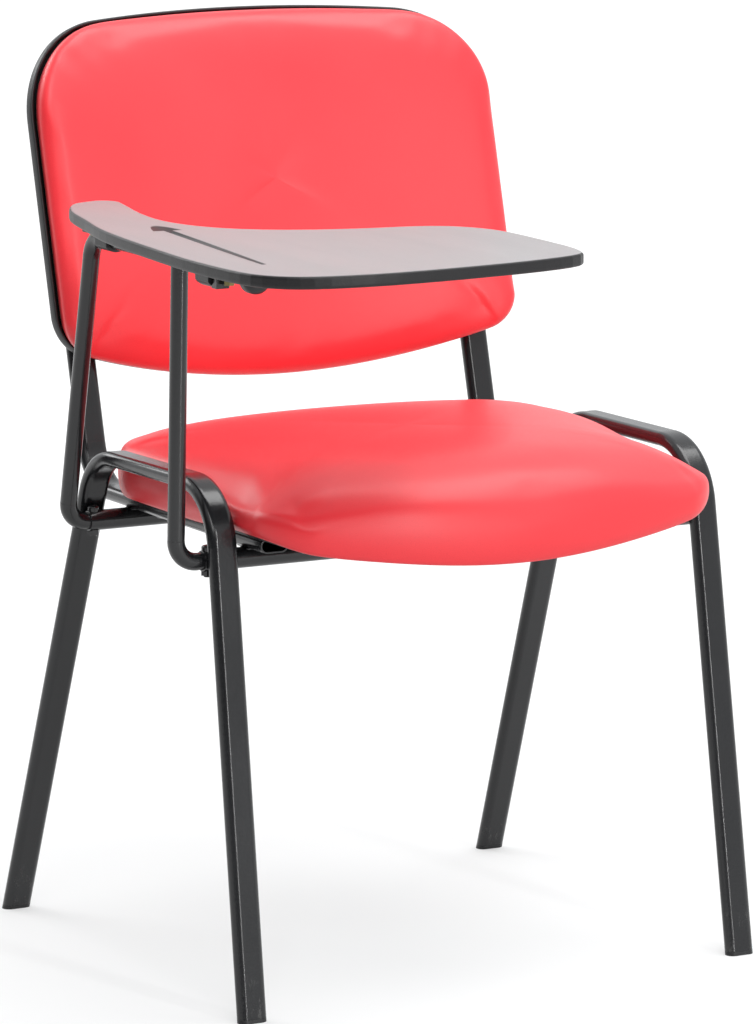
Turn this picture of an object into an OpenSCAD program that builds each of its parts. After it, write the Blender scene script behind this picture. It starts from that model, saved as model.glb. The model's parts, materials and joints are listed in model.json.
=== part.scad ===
// Stacking conference chair with a tilting writing tablet.
// The front faces -Y, the sitter's right hand is at -X and +Z is up.
// The origin lies on the floor, midway between the four feet.

/* [Leg frames] */
// Width of the flat oval tube, across the chair
tube_w = 26.5; // [23:0.5:30]
// Thickness of the flat oval tube, in the plane of its bends
tube_t = 13; // [11:0.5:15]
// Wall of the flat oval tube
tube_wall = 1.5; // [1:0.1:2]
// Gap between the seat's bulging sides and the leg frames
side_gap = 2.8; // [2:0.1:6]
// How much further out a leg stands at the floor than at its top
leg_splay = 6.75; // [4:0.25:12]
// How much further apart the front and rear feet stand than the seat is deep
stance_extra = 59.5; // [40:0.5:80]
// How much further apart the rear feet stand than the front feet
rear_spread = 13.5; // [0:0.5:20]
// Height of the top run's centre line at the front corner
frame_h = 448; // [436:1:460]
// How much lower the top run's rear corner lies
frame_fall = 2; // [0:0.5:6]
// How far the front leg rakes back from its foot to its corner
front_rake = 69.5; // [50:0.5:80]
// How far the rear leg rakes back from its corner to its foot
rear_rake = 168.6; // [150:0.2:180]
// Bend radius of the front corner, on the centre line
front_bend = 58.5; // [45:0.5:62]
// Bend radius of the rear corner, on the centre line
rear_bend = 52.5; // [42:0.5:60]
// Height of the part of a foot cap that shows below the tube
foot_cap_h = 3.5; // [2:0.5:8]
// Length of the foot cap's plug inside the tube
foot_plug_h = 18; // [10:1:30]

/* [Cross rails] */
// Diameter of the round cross rails
rail_d = 18; // [17:0.5:22]
// Wall of the cross rails
rail_wall = 1.4; // [1:0.1:2]
// How far the rails' centre lines lie below the frame's top run
rail_drop = 62.5; // [56:0.5:70]
// How far a rail ends inside the leg's outer edge
rail_inset = 3.5; // [0:0.5:5]

/* [Seat and back tubes] */
// How far the seat tubes' centre lines lie inside the seat's edge
seat_tube_inset = 19.5; // [16:0.5:30]
// How far the open tube ends reach ahead of the front rail
seat_tube_reach = 41; // [20:1:60]
// Distance from the rear rail back to the corner of the tube
upright_set = 83; // [76:1:100]
// Bend radius under the uprights, on the centre line
seat_tube_bend = 50; // [40:1:60]
// Lean of the uprights and the back, in degrees
recline = 15; // [10:1:20]
// Length of the uprights above their corner
upright_len = 285; // [200:1:320]

/* [Seat] */
// Width of the seat at its lower edge
seat_w = 443; // [430:1:460]
// Depth of the seat at its lower edge
seat_d = 403; // [385:1:412]
// How far the seat reaches ahead of the open tube ends
seat_reach = 70.5; // [64:0.5:90]
// Radius of the bowed front edge
seat_front_bow = 658; // [500:2:900]
// Radius of the nearly straight rear edge
seat_rear_bow = 641; // [500:1:1500]
// Radius of the front corners
seat_front_corner = 54; // [30:1:64]
// Radius of the rear corners
seat_rear_corner = 69; // [60:1:90]
// Thickness of the moulded plywood board
seat_board_t = 9; // [8:0.5:11]
// Thickness of the plastic cover under the board
seat_cover_t = 5; // [3:0.1:6]
// Radius of the waterfall at the front of the board
fall_r = 115; // [100:1:200]
// Length of the waterfall, measured back from the front edge
fall_len = 73; // [50:1:80]
// Height of the seat cushion at its crown, above the board's underside
seat_crown = 56; // [48:1:64]
// Height of the cushion's side
seat_side = 40; // [34:1:44]
// Height of the side at the pinched front corners
seat_pinch = 15; // [14:0.5:24]
// Distance over which the side rises from a pinched corner
pinch_reach = 100; // [80:5:240]

/* [Back] */
// How much wider the back cushion is than the seat
back_extra = 18; // [0:1:36]
// Height of the back cushion, along the back
back_h = 338; // [310:1:360]
// Distance from the tube corner up to the back cushion
back_rise = 88; // [76:1:110]
// Radius of the bowed lower edge
back_low_bow = 816; // [600:10:1500]
// Radius of the top edge
back_top_bow = 1250; // [900:10:3000]
// Radius of the lower corners
back_low_corner = 34; // [24:1:60]
// Radius of the upper corners
back_top_corner = 88; // [60:1:110]
// How far the cushion's lower roll hangs below the board and the shell
back_tuck = 6; // [4:0.5:8]
// Radius of the back's curve round the sitter
back_curve = 900; // [700:10:1500]
// Thickness of the curved plywood board
back_board_t = 9; // [8:0.5:12]
// Height of the back cushion at its crown, above the board's rear face
back_crown = 45; // [38:1:55]
// Height of the cushion's side
back_side = 31; // [28:1:34]
// Wall of the plastic back shell
shell_wall = 2.5; // [2:0.1:3]
// How far the shell's rim stands outside the back cushion's outline
shell_edge = 4; // [3:0.1:5]
// Height of the shell's rim above the board's rear face
shell_rim = 10; // [8:0.5:10.5]

/* [Tablet arm] */
// Diameter of the round arm tube
arm_d = 15; // [13:0.5:15]
// Wall of the arm tube
arm_wall = 1.5; // [1:0.1:2]
// Distance of the hinge axis outside the rails' ends
arm_stand = 19; // [17:0.5:26]
// Height of the hinge axis above the frame's top run
arm_rise = 198.5; // [180:0.5:230]
// Distance of the front lower bend outside the rails' ends
arm_foot_stand = 24.5; // [20:0.5:30]
// How much further out the front lower bend lies than the rear one
arm_toe = 4; // [0:0.5:4]
// Distance from the rear rail forward to the rear upper corner
arm_lean = 56.5; // [30:0.5:80]
// How far the arm's open end reaches ahead of the front rail
arm_reach = 141.5; // [110:0.5:170]
// Bend radius of the lower bends
arm_low_bend = 19; // [16:0.5:22]
// Bend radius of the rear upper bend
arm_top_bend = 24; // [20:0.5:40]
// Length of the arm tube's ends inside the cross rails
arm_plug = 30; // [20:1:45]

/* [Tablet] */
// Length of the tablet from its rear tip to its front edge
tablet_len = 557; // [500:1:600]
// Width of the tablet
tablet_w = 321; // [280:1:350]
// Thickness of the tablet
tablet_t = 10.5; // [9:0.5:16]
// Height of the tablet's underside above the hinge axis
tablet_lift = 10; // [9.5:0.5:14]
// How far the tablet reaches behind the rear upper corner
tablet_tail = 73; // [50:1:100]
// How far the tablet reaches outside the hinge axis
tablet_out = 75.5; // [60:0.5:90]
// Width of the pen groove
groove_w = 8; // [6:0.5:12]
// Width of the finger scoop at the groove's rear end
scoop_w = 26; // [20:1:34]
// Length of the finger scoop
scoop_len = 38; // [28:1:50]
// Depth of the finger scoop
scoop_depth = 4; // [2:0.5:6]

/* [Fasteners] */
// Diameter of the bolts
bolt_d = 6; // [5:0.5:6]
// Diameter of the bolt heads
bolt_head_d = 10; // [9:0.5:10]
// Height of the bolt heads
bolt_head_h = 3.2; // [2:0.1:4]
// Diameter of the wood screws in the tablet
screw_d = 4; // [3:0.5:5]

/* [Hidden] */

// Overrun of every cut past the faces that it opens
over = 1;
// Gap between parts that are welded or pressed together
seat_gap = 0.25;
// Gap between a flat part and the part that it lies on
lay_gap = 0.1;
// Gap round a soft part
soft_gap = 0.3;
// Radial clearance of a pin or bolt in its bore
pin_gap = 0.05;
// Radial clearance of a bolt in the holes that it passes freely
hole_gap = 0.25;
// How far a round run enters the bend beside it, and how much thicker the bend is
bend_lap = 0.4;
bend_swell = 0.04;
round_swell = 0.2;
// Fineness of tubes and of smaller round parts
tube_fn = 64;
small_fn = 40;

black_paint = "#2b2b2d";
black_plastic = "#1d1d1f";
red_hide = "#f04048";
birch = "#d8b98a";
zinc = "#c9c27a";
steel = "#9a9a9c";

// Widths that follow the seat's
bulge = 2.2;
shoulder_w = seat_w + 2 * (bulge + side_gap) + tube_w;
stance_w = shoulder_w + 2 * leg_splay;
seat_tube_gap = seat_w - 2 * seat_tube_inset;
back_w = seat_w + back_extra;

// Leg frame in its own plane: points are distance back and height
stance_d = seat_d + stance_extra;
foot_y = stance_d / 2;
leg_points = [
    [-foot_y, 0],
    [-foot_y + front_rake, frame_h],
    [foot_y - rear_rake, frame_h - frame_fall],
    [foot_y, 0]];
leg_bends = [front_bend, rear_bend];
front_lean = atan(front_rake / frame_h);
rear_lean = atan(rear_rake / (frame_h - frame_fall));
frame_tilt = atan((stance_w - shoulder_w) / 2 / frame_h);
frame_toe = atan(rear_spread / 2 / stance_d);

// Cross rails lie against the broad faces of the legs
rail_r = rail_d / 2;
rail_z = frame_h - rail_drop;
rail_stand = tube_t / 2 + rail_r + seat_gap;
front_rail_y = -foot_y + front_rake * rail_z / frame_h + rail_stand / cos(front_lean);
rear_rail_y = foot_y - rear_rake * rail_z / (frame_h - frame_fall) - rail_stand / cos(rear_lean);
leg_x_at_rail = stance_w / 2 - (stance_w - shoulder_w) / 2 * rail_z / frame_h;
rail_end = leg_x_at_rail + tube_w / 2 - rail_inset;
plug_flange = 2;
plug_len = 14;

// Seat and back tubes lie on the rails
seat_tube_x = seat_tube_gap / 2;
seat_tube_z = rail_z + rail_r + tube_t / 2 + lay_gap;
seat_tube_front = front_rail_y - seat_tube_reach;
corner_y = rear_rail_y + upright_set;
seat_tube_points = [
    [seat_tube_front, seat_tube_z],
    [corner_y, seat_tube_z],
    [corner_y + upright_len * sin(recline), seat_tube_z + upright_len * cos(recline)]];

// Seat: the board's underside is the reference of its heights
seat_cover_z = seat_tube_z + tube_t / 2 + lay_gap;
seat_z = seat_cover_z + seat_cover_t + lay_gap;
seat_y = seat_tube_front - seat_reach;
fall_y = seat_y + fall_len;
skirt_t = 6;
seat_bolt_y = [front_rail_y + rail_r + bolt_head_d, rear_rail_y - rail_r - 4 * bolt_head_d];
t_nut_d = 8;
t_nut_flange_d = 18;
t_nut_flange_t = 1.2;
t_nut_len = seat_board_t - t_nut_flange_t;

// Back: heights are measured forward from the board's rear face at the uprights
back_seat = tube_t / 2 + lay_gap;
curve_set = sqrt(back_curve ^ 2 - (seat_tube_x - tube_w * 0.3) ^ 2);
// The lower bolts keep a share of the back's height from the edge that lies below them
low_bolt_share = 0.0915;
low_edge_v = back_low_bow - sqrt(back_low_bow ^ 2 - seat_tube_x ^ 2);
back_bolt_v = [low_edge_v + back_h * low_bolt_share, back_h * 2 / 5];
channel_wall = 2.6;
channel_gap = 0.6;
channel_foot = back_low_bow - sqrt(back_low_bow ^ 2 - seat_tube_x ^ 2) + 2 * back_board_t;
channel_slope = 28;

// Arm: the top run is the hinge shaft
arm_x = rail_end + arm_stand;
arm_z = frame_h + arm_rise;
arm_foot_x = rail_end + arm_foot_stand;
arm_corner_y = rear_rail_y - arm_lean;
arm_nose_y = front_rail_y - arm_reach;
arm_bore_d = arm_d - 2 * arm_wall;
arm_plug_x = rail_end - arm_plug;
arm_bolt_x = rail_end - bolt_head_d / 2 - hole_gap;
nut_t = 5;
nut_flats = 10;
cap_d = 26;
cap_t = 13;
cap_bore = 8;
cap_drop = 2.5;
peg_d = 6;
peg_len = 6;

// Tablet
tablet_z = arm_z + tablet_lift;
tablet_rear = arm_corner_y + tablet_tail;
tablet_side = -arm_x - tablet_out;
edge_round = 2.4;
saddle_w = 20;
saddle_len = 22;
saddle_wall = 2.4;
saddle_flange_w = 44;
saddle_flange_t = 3;
rear_saddle_y = arm_corner_y - arm_top_bend - saddle_len / 2;
block_w = 24;
block_len = 24;
block_drop = 10.5;
block_flange_w = 52;
front_block_y = front_rail_y - arm_reach / 2 + block_len / 4;
collar_d = 19;
collar_len = 20;
collar_gap = 0.4;
collar_y = front_block_y - block_len / 2 - collar_gap - collar_len / 2;
ear_w = 6;
ear_drop = 7.5;
finger_w = 6;
finger_len = 9;
stop_head_h = 4;
stop_flats = 8;
screw_reach = 7;
screw_head_d = 8;
screw_head_h = 2.6;

// A closed tube outline with two flat faces: w across, t thick
module flat_oval(w, t) {
    square([w - t, t], center = true);
    for (side = [-1, 1]) translate([side * (w - t) / 2, 0]) circle(d = t, $fn = tube_fn);
}

function unit(v) = v / norm(v);
function turn(a, b, c) = acos(unit(b - a) * unit(c - b));
function run_back(a, b, c, r) = r * tan(turn(a, b, c) / 2);

// The cut-back ends of the straight run from point i to point i + 1
function run_start(p, r, i) = i == 0 ? p[0]
    : p[i] + unit(p[i + 1] - p[i]) * run_back(p[i - 1], p[i], p[i + 1], r[i - 1]);
function run_end(p, r, i) = i == len(p) - 2 ? p[i + 1]
    : p[i + 1] - unit(p[i + 1] - p[i]) * run_back(p[i], p[i + 1], p[i + 2], r[i]);

// A path lengthened at both ends, for a bore that opens them
function longer(p, d) = [for (i = [0 : len(p) - 1])
    i == 0 ? p[0] - unit(p[1] - p[0]) * d
    : i == len(p) - 1 ? p[i] + unit(p[i] - p[i - 1]) * d : p[i]];

// A flat oval bar bent in the drawing plane, its width along Z. Each run enters the
// bends at its ends, which are a hair thicker.
module bent_bar(p, r, w, t) {
    last = len(p) - 2;
    for (i = [0 : last]) {
        u = unit(p[i + 1] - p[i]);
        a = run_start(p, r, i) - u * (i == 0 ? 0 : bend_lap);
        b = run_end(p, r, i) + u * (i == last ? 0 : bend_lap);
        translate([a[0], a[1], 0]) rotate([0, 0, atan2(u[1], u[0])])
            rotate([0, 90, 0]) linear_extrude(norm(b - a)) flat_oval(w, t);
    }
    for (i = [1 : len(p) - 2]) {
        u = unit(p[i] - p[i - 1]);
        v = unit(p[i + 1] - p[i]);
        side = u[0] * v[1] - u[1] * v[0] > 0 ? 1 : -1;
        a = run_end(p, r, i - 1);
        centre = a + side * r[i - 1] * [-u[1], u[0]];
        start = atan2(a[1] - centre[1], a[0] - centre[0]);
        sweep = turn(p[i - 1], p[i], p[i + 1]);
        translate([centre[0], centre[1], 0])
            rotate([0, 0, side > 0 ? start : start - sweep])
            rotate_extrude(angle = sweep, $fn = tube_fn * 2)
            translate([r[i - 1], 0]) rotate(90) flat_oval(w + bend_swell, t + bend_swell);
    }
}

module bent_tube(p, r, w, t, wall) {
    difference() {
        bent_bar(p, r, w, t);
        bent_bar(longer(p, over), r, w - 2 * wall, t - 2 * wall);
    }
}

// Turns the drawing plane upright: its X runs back and its Y runs up
module upright_plane() { rotate([90, 0, 90]) children(); }

// Places one leg frame: side is 1 for the sitter's left and -1 for the right
module leg_place(side) {
    translate([side * stance_w / 2, 0, 0]) rotate([0, 0, -side * frame_toe])
        rotate([0, -side * frame_tilt, 0]) upright_plane() children();
}

module below_floor(height) {
    translate([-stance_w, -stance_d, -stance_w]) cube([2 * stance_w, 2 * stance_d, stance_w + height]);
}

module leg_frame(side) {
    color(black_paint) difference() {
        leg_place(side) bent_tube(longer(leg_points, tube_w), leg_bends, tube_w, tube_t, tube_wall);
        below_floor(foot_cap_h + lay_gap);
    }
}
module leg_frame_right() { leg_frame(-1); }
module leg_frame_left() { leg_frame(1); }

// One foot cap: a pad under the tube's end and a plug inside the tube
module foot_cap(side, i) {
    foot = leg_points[i == 0 ? 0 : 3];
    knee = leg_points[i == 0 ? 1 : 2];
    up = unit(knee - foot);
    lean = atan2(up[1], up[0]);
    plug_w = tube_w - 2 * tube_wall - 2 * lay_gap;
    plug_t = tube_t - 2 * tube_wall - 2 * lay_gap;
    difference() {
        intersection() {
            leg_place(side) translate([foot[0] - up[0] * tube_w, -up[1] * tube_w, 0])
                rotate([0, 0, lean]) rotate([0, 90, 0]) linear_extrude(2 * tube_w) flat_oval(tube_w, tube_t);
            below_floor(foot_cap_h);
        }
        below_floor(0);
    }
    difference() {
        leg_place(side) translate([foot[0], 0, 0]) rotate([0, 0, lean]) rotate([0, 90, 0])
            linear_extrude(foot_plug_h) flat_oval(plug_w, plug_t);
        below_floor(foot_cap_h / 2);
    }
}
module foot_caps() {
    color(black_plastic) for (side = [-1, 1], i = [0, 1]) foot_cap(side, i);
}

// A rod along X between two distances from the middle
module rod_x(x0, x1, d) {
    translate([x0, 0, 0]) rotate([0, 90, 0]) cylinder(h = x1 - x0, d = d, $fn = tube_fn);
}

module arm_bolt_hole(d) {
    translate([-arm_bolt_x, 0, -rail_d]) cylinder(h = 2 * rail_d, d = d, $fn = small_fn);
}

module cross_rail(y) {
    color(black_paint) translate([0, y, rail_z]) difference() {
        rod_x(-rail_end, rail_end, rail_d);
        rod_x(-rail_end - over, rail_end + over, rail_d - 2 * rail_wall);
        arm_bolt_hole(bolt_d + 2 * hole_gap);
    }
}
module front_cross_rail() { cross_rail(front_rail_y); }
module rear_cross_rail() { cross_rail(rear_rail_y); }

// Plugs close the rails' ends on the side without an arm
module rail_plugs() {
    bore = rail_d - 2 * rail_wall;
    color(black_plastic) for (y = [front_rail_y, rear_rail_y]) translate([0, y, rail_z]) {
        translate([rail_end + lay_gap, 0, 0]) rotate([0, 90, 0]) {
            cylinder(h = plug_flange / 2, d = rail_d, $fn = tube_fn);
            translate([0, 0, plug_flange / 2])
                cylinder(h = plug_flange / 2, d1 = rail_d, d2 = rail_d - plug_flange, $fn = tube_fn);
        }
        rod_x(rail_end - plug_len, rail_end + lay_gap + plug_flange / 2, bore - 2 * lay_gap);
    }
}

// Bolt holes through a seat tube: up through the seat run and back through the upright
module seat_bolt_holes(d) {
    for (y = seat_bolt_y) translate([0, y, seat_tube_z - tube_t]) cylinder(h = 2 * tube_t, d = d, $fn = small_fn);
}

// Moves to the back's own frame: X across, Y up the back, Z forward
module back_frame() {
    translate([0, corner_y, seat_tube_z]) rotate([-recline, 0, 0])
        translate([0, -back_seat, back_rise]) rotate([90, 0, 0]) children();
}

module seat_tube(side) {
    color(black_paint) difference() {
        translate([side * seat_tube_x, 0, 0]) upright_plane()
            bent_tube(seat_tube_points, [seat_tube_bend], tube_w, tube_t, tube_wall);
        translate([side * seat_tube_x, 0, 0]) seat_bolt_holes(bolt_d + 2 * hole_gap);
        back_frame() for (v = back_bolt_v) translate([side * seat_tube_x, v, -2 * tube_t])
            cylinder(h = 3 * tube_t, d = bolt_d + 2 * hole_gap, $fn = small_fn);
    }
}
module seat_tube_right() { seat_tube(-1); }
module seat_tube_left() { seat_tube(1); }

// Outline of a seat or back panel, anticlockwise from the middle of its low edge.
// w and h are its size, r1 and r2 its low and high corner radii, b1 and b2 the
// radii of its low and high edges, and every edge is drawn in by inset.
function arc(c, r, a0, a1, n) = [for (k = [0 : n - 1])
    let (a = a0 + (a1 - a0) * k / n) c + r * [cos(a), sin(a)]];
function panel_half(w, h, r1, r2, b1, b2, inset, n) =
    let (x1 = w / 2 - r1, y1 = b1 - sqrt((b1 - r1) ^ 2 - x1 ^ 2), a1 = atan2(y1 - b1, x1),
        x2 = w / 2 - r2, y2 = h - b2 + sqrt((b2 - r2) ^ 2 - x2 ^ 2), a2 = atan2(y2 - h + b2, x2))
    concat(
        arc([0, b1], b1 - inset, -90, a1, n),
        arc([x1, y1], r1 - inset, a1, 0, n),
        [for (k = [0 : n - 1]) [w / 2 - inset, y1 + (y2 - y1) * k / n]],
        arc([x2, y2], r2 - inset, 0, a2, n),
        arc([0, h - b2], b2 - inset, a2, 90, n));
function panel(w, h, r1, r2, b1, b2, inset, n) =
    let (half = panel_half(w, h, r1, r2, b1, b2, inset, n), m = len(half))
    concat(half, [[0, h - inset]], [for (i = [m - 1 : -1 : 1]) [-half[i][0], half[i][1]]]);

function seat_outline(inset, n) = [for (p = panel(seat_w, seat_d, seat_front_corner,
    seat_rear_corner, seat_front_bow, seat_rear_bow, inset, n)) [p[0], p[1] + seat_y]];
function back_outline(inset, n, tuck = 0) = [for (p = panel(back_w, back_h - tuck, back_low_corner,
    back_top_corner, back_low_bow, back_top_bow, inset, n)) [p[0], p[1] + tuck]];

// A closed skin over a list of rings, from the middle of one side to the other
module skin(rings, low, high) {
    n = len(rings[0]);
    m = len(rings);
    points = concat([for (ring = rings) each ring], [low, high]);
    sides = [for (j = [0 : m - 2], i = [0 : n - 1])
        let (a = j * n + i, b = j * n + (i + 1) % n) each [[a, a + n, b], [b, a + n, b + n]]];
    caps = [for (i = [0 : n - 1]) each [
        [i, (i + 1) % n, m * n],
        [(m - 1) * n + (i + 1) % n, (m - 1) * n + i, m * n + 1]]];
    polyhedron(points, concat(sides, caps), convexity = 6);
}

// Drop of the waterfall at depth y, for a surface at height h above the board's underside
function fall(y, h) = y < fall_y ? fall_r + h - sqrt((fall_r + h) ^ 2 - (fall_y - y) ^ 2) : 0;

// A sheet that follows the waterfall, between two heights over the board's underside
module seat_sheet(h0, h1, inset, n) {
    intersection() {
        translate([0, 0, seat_z - fall_r]) linear_extrude(2 * fall_r)
            polygon(seat_outline(inset, n));
        translate([-seat_w / 2, 0, 0]) rotate([90, 0, 90]) linear_extrude(seat_w) {
            translate([fall_y, seat_z + h0]) square([seat_d, h1 - h0]);
            intersection() {
                translate([fall_y, seat_z - fall_r]) difference() {
                    circle(r = fall_r + h1, $fn = 180);
                    circle(r = fall_r + h0, $fn = 180);
                }
                translate([fall_y - fall_r, seat_z - fall_r / 2]) square([fall_r, fall_r]);
            }
        }
    }
}

module at_seat_bolts() {
    for (side = [-1, 1], y = seat_bolt_y) translate([side * seat_tube_x, y, 0]) children();
}

module seat_base_cover() {
    color(black_plastic) difference() {
        seat_sheet(-lay_gap - seat_cover_t, -lay_gap, skirt_t / 2, 2 * pad_n);
        at_seat_bolts() translate([0, 0, seat_cover_z - over])
            cylinder(h = seat_cover_t + 2 * over, d = t_nut_d + 2 * hole_gap, $fn = small_fn);
    }
}

module seat_board() {
    color(birch) difference() {
        seat_sheet(0, seat_board_t, skirt_t + soft_gap, pad_n);
        at_seat_bolts() translate([0, 0, seat_z]) {
            translate([0, 0, -over]) cylinder(h = seat_board_t + 2 * over, d = t_nut_d + 2 * lay_gap, $fn = small_fn);
            translate([0, 0, seat_board_t - t_nut_flange_t - lay_gap])
                cylinder(h = t_nut_flange_t + over, d = t_nut_flange_d + 2 * lay_gap, $fn = small_fn);
        }
    }
}

// A T-nut, its flange up and its top face at height zero
module t_nut(len) {
    difference() {
        union() {
            translate([0, 0, -t_nut_flange_t]) cylinder(h = t_nut_flange_t, d = t_nut_flange_d, $fn = small_fn);
            translate([0, 0, -len]) cylinder(h = len, d = t_nut_d, $fn = small_fn);
        }
        translate([0, 0, -len - over]) cylinder(h = len + 2 * over, d = bolt_d + 2 * pin_gap, $fn = small_fn);
    }
}

module seat_t_nuts() {
    color(steel) at_seat_bolts() translate([0, 0, seat_z + seat_board_t]) t_nut(seat_board_t - over);
}

// A bolt that points up, the underside of its domed head at height zero
module bolt(len) {
    cylinder(h = len, d = bolt_d, $fn = small_fn);
    translate([0, 0, -bolt_head_h]) rotate_extrude($fn = small_fn) polygon(concat([[0, bolt_head_h]],
        [[bolt_head_d / 2, bolt_head_h]],
        [for (a = [0 : 15 : 60]) [bolt_head_d / 2 * cos(a), bolt_head_h * 0.7 * (1 - sin(a))]],
        [[0, bolt_head_h * 0.7 * (1 - sin(60))]]));
}

module seat_bolts() {
    reach = seat_z + seat_board_t - over - (seat_tube_z - tube_t / 2);
    color(black_paint) at_seat_bolts() translate([0, 0, seat_tube_z - tube_t / 2 - lay_gap]) bolt(reach);
}

// Height of the seat cushion's side at a place, low at the two pinched front corners
function smooth(t) = let (s = min(max(t, 0), 1)) s * s * (3 - 2 * s);
function side_at(x, y) =
    let (d = norm([abs(x) - seat_w / 2 + seat_front_corner / 4, y - seat_y - seat_front_corner * 1.8]))
    seat_pinch + (seat_side - seat_pinch) * smooth(d / pinch_reach);

// Shares of the side's height and the insets of the cushion's side rings, from the skirt up
side_shares = [0.012, 0.3, 0.62, 0.88, 1];
back_side_shares = [0.012, 0.35, 0.68, 0.88, 1];
seat_insets = [1.5, -1.8, -bulge, 1.2, 8];
back_insets = [2.5, 2, -0.8, 1.5, 7];
// Shares of the outline at the crown's rings, and of the pocket's rings
crown_shares = [0.9, 0.76, 0.58, 0.36, 0.16];
pocket_shares = [0.35, 0.7, 0.9, 1];
seat_crown_power = 4.5;
back_crown_power = 2.4;
pad_n = 6;

function shrink(ring, k, c) = [for (p = ring) c + (p - c) * k];

seat_mid = [0, seat_y + seat_d * 0.52];
function seat_lift(p, h) = [p[0], p[1], seat_z + h - fall(p[1], h)];
// The pocket stands a little higher over the waterfall, whose facets cut inside its curve
function pocket_h(y) = seat_board_t + soft_gap + smooth((fall_y - y) / skirt_t + 3) * soft_gap * 6;

module seat_cushion() {
    pocket = seat_outline(skirt_t, pad_n);
    shoulder = seat_outline(seat_insets[4], pad_n);
    rings = concat(
        [for (k = pocket_shares) [for (p = shrink(pocket, k, seat_mid)) seat_lift(p, pocket_h(p[1]))]],
        [[for (p = pocket) seat_lift(p, soft_gap)]],
        [for (j = [0 : 4]) [for (p = seat_outline(seat_insets[j], pad_n))
            seat_lift(p, max(soft_gap, side_at(p[0], p[1]) * side_shares[j]))]],
        [for (k = crown_shares) [for (p = shrink(shoulder, k, seat_mid))
            let (s = side_at(p[0], p[1])) seat_lift(p, s + (seat_crown - s) * (1 - k ^ seat_crown_power))]]);
    color(red_hide) skin(rings, seat_lift(seat_mid, pocket_h(seat_mid[1])), seat_lift(seat_mid, seat_crown));
}

// Height in the back's frame of a surface that lies h in front of the board's rear face
function bow(x, h) = curve_set - sqrt((back_curve - h) ^ 2 - x ^ 2);
function back_lift(p, h) = [p[0], p[1], bow(p[0], h)];
back_mid = [0, back_h * 0.52];

module at_back_bolts() {
    for (side = [-1, 1], v = back_bolt_v) translate([side * seat_tube_x, v, 0]) children();
}

module back_board() {
    color(birch) back_frame() difference() {
        translate([0, 0, -back_curve / 4]) linear_extrude(back_curve / 2)
            polygon(back_outline(skirt_t + soft_gap, pad_n, back_tuck));
        translate([0, 0, curve_set]) rotate([-90, 0, 0]) translate([0, 0, -over])
            cylinder(h = back_h + 2 * over, r = back_curve - back_board_t, $fn = 360);
        translate([0, 0, curve_set]) rotate([-90, 0, 0]) translate([0, 0, -over]) difference() {
            cylinder(h = back_h + 2 * over, r = 2 * back_curve, $fn = 360);
            translate([0, 0, -over]) cylinder(h = back_h + 4 * over, r = back_curve, $fn = 360);
        }
        at_back_bolts() {
            translate([0, 0, -back_board_t]) cylinder(h = 3 * back_board_t, d = t_nut_d + 2 * lay_gap, $fn = small_fn);
            translate([0, 0, back_board_t - nut_sink - lay_gap])
                cylinder(h = back_board_t, d = t_nut_flange_d + 2 * lay_gap, $fn = small_fn);
        }
    }
}
// Depth to which the back's T-nuts are sunk under the lowest place of the curved face
nut_sink = 3.6;

module back_t_nuts() {
    color(steel) back_frame() at_back_bolts()
        translate([0, 0, back_board_t - nut_sink + t_nut_flange_t]) t_nut(back_board_t - nut_sink - over);
}

module back_bolts() {
    head = -tube_t - 2 * lay_gap - channel_gap - channel_wall;
    color(black_paint) back_frame() at_back_bolts() translate([0, 0, head + channel_wall / 2])
        bolt(back_board_t - nut_sink - head - channel_wall / 2);
}

module back_cushion() {
    pocket = back_outline(skirt_t, pad_n, back_tuck);
    shoulder = back_outline(back_insets[4], pad_n);
    top = back_board_t + soft_gap;
    rings = concat(
        [for (k = pocket_shares) [for (p = shrink(pocket, k, back_mid)) back_lift(p, top)]],
        [[for (p = pocket) back_lift(p, soft_gap)]],
        [for (j = [0 : 4]) [for (p = back_outline(back_insets[j], pad_n, j < 2 ? back_tuck : 0))
            back_lift(p, max(soft_gap, back_side * back_side_shares[j]))]],
        [for (k = crown_shares) [for (p = shrink(shoulder, k, back_mid))
            back_lift(p, back_side + (back_crown - back_side) * (1 - k ^ back_crown_power))]]);
    color(red_hide) back_frame() skin(rings, back_lift(back_mid, top), back_lift(back_mid, back_crown));
}

// The shell's moulded section, from the rear round the edge to the rim, and back inside it:
// each entry is how far it lies outside the cushion and its height over the board's rear face
shell_out = shell_edge;
shell_gap = shell_edge - shell_wall;
shell_round = 5;
shell_lie = 1.1;
shell_shares = [0.25, 0.5, 0.75];
function shell_section() = concat(
    [for (a = [0 : 22.5 : 90]) [
        shell_out - shell_round * (1 - sin(a)),
        -shell_lie - shell_wall + shell_round * (1 - cos(a))]],
    [[shell_out, shell_rim - shell_wall / 3], [shell_out - shell_wall / 3, shell_rim],
        [shell_gap + shell_wall / 3, shell_rim], [shell_gap, shell_rim - shell_wall / 3]],
    [for (a = [90 : -30 : 0]) [
        shell_gap - (shell_round - shell_wall) * (1 - sin(a)) * 0.9,
        -shell_lie + (shell_round - shell_wall) * (1 - cos(a)) * 0.9]]);

module shell_tray() {
    section = shell_section();
    m = len(section);
    rear_ring = back_outline(-section[0][0], pad_n, back_tuck);
    inner_ring = back_outline(-section[m - 1][0], pad_n, back_tuck);
    rings = concat(
        [for (k = shell_shares) [for (p = shrink(rear_ring, k, back_mid)) back_lift(p, section[0][1])]],
        [for (s = section) [for (p = back_outline(-s[0], pad_n, back_tuck)) back_lift(p, s[1])]],
        [for (i = [2 : -1 : 0]) [for (p = shrink(inner_ring, shell_shares[i], back_mid))
            back_lift(p, section[m - 1][1])]]);
    skin(rings, back_lift(back_mid, section[0][1]), back_lift(back_mid, section[m - 1][1]));
}

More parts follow.
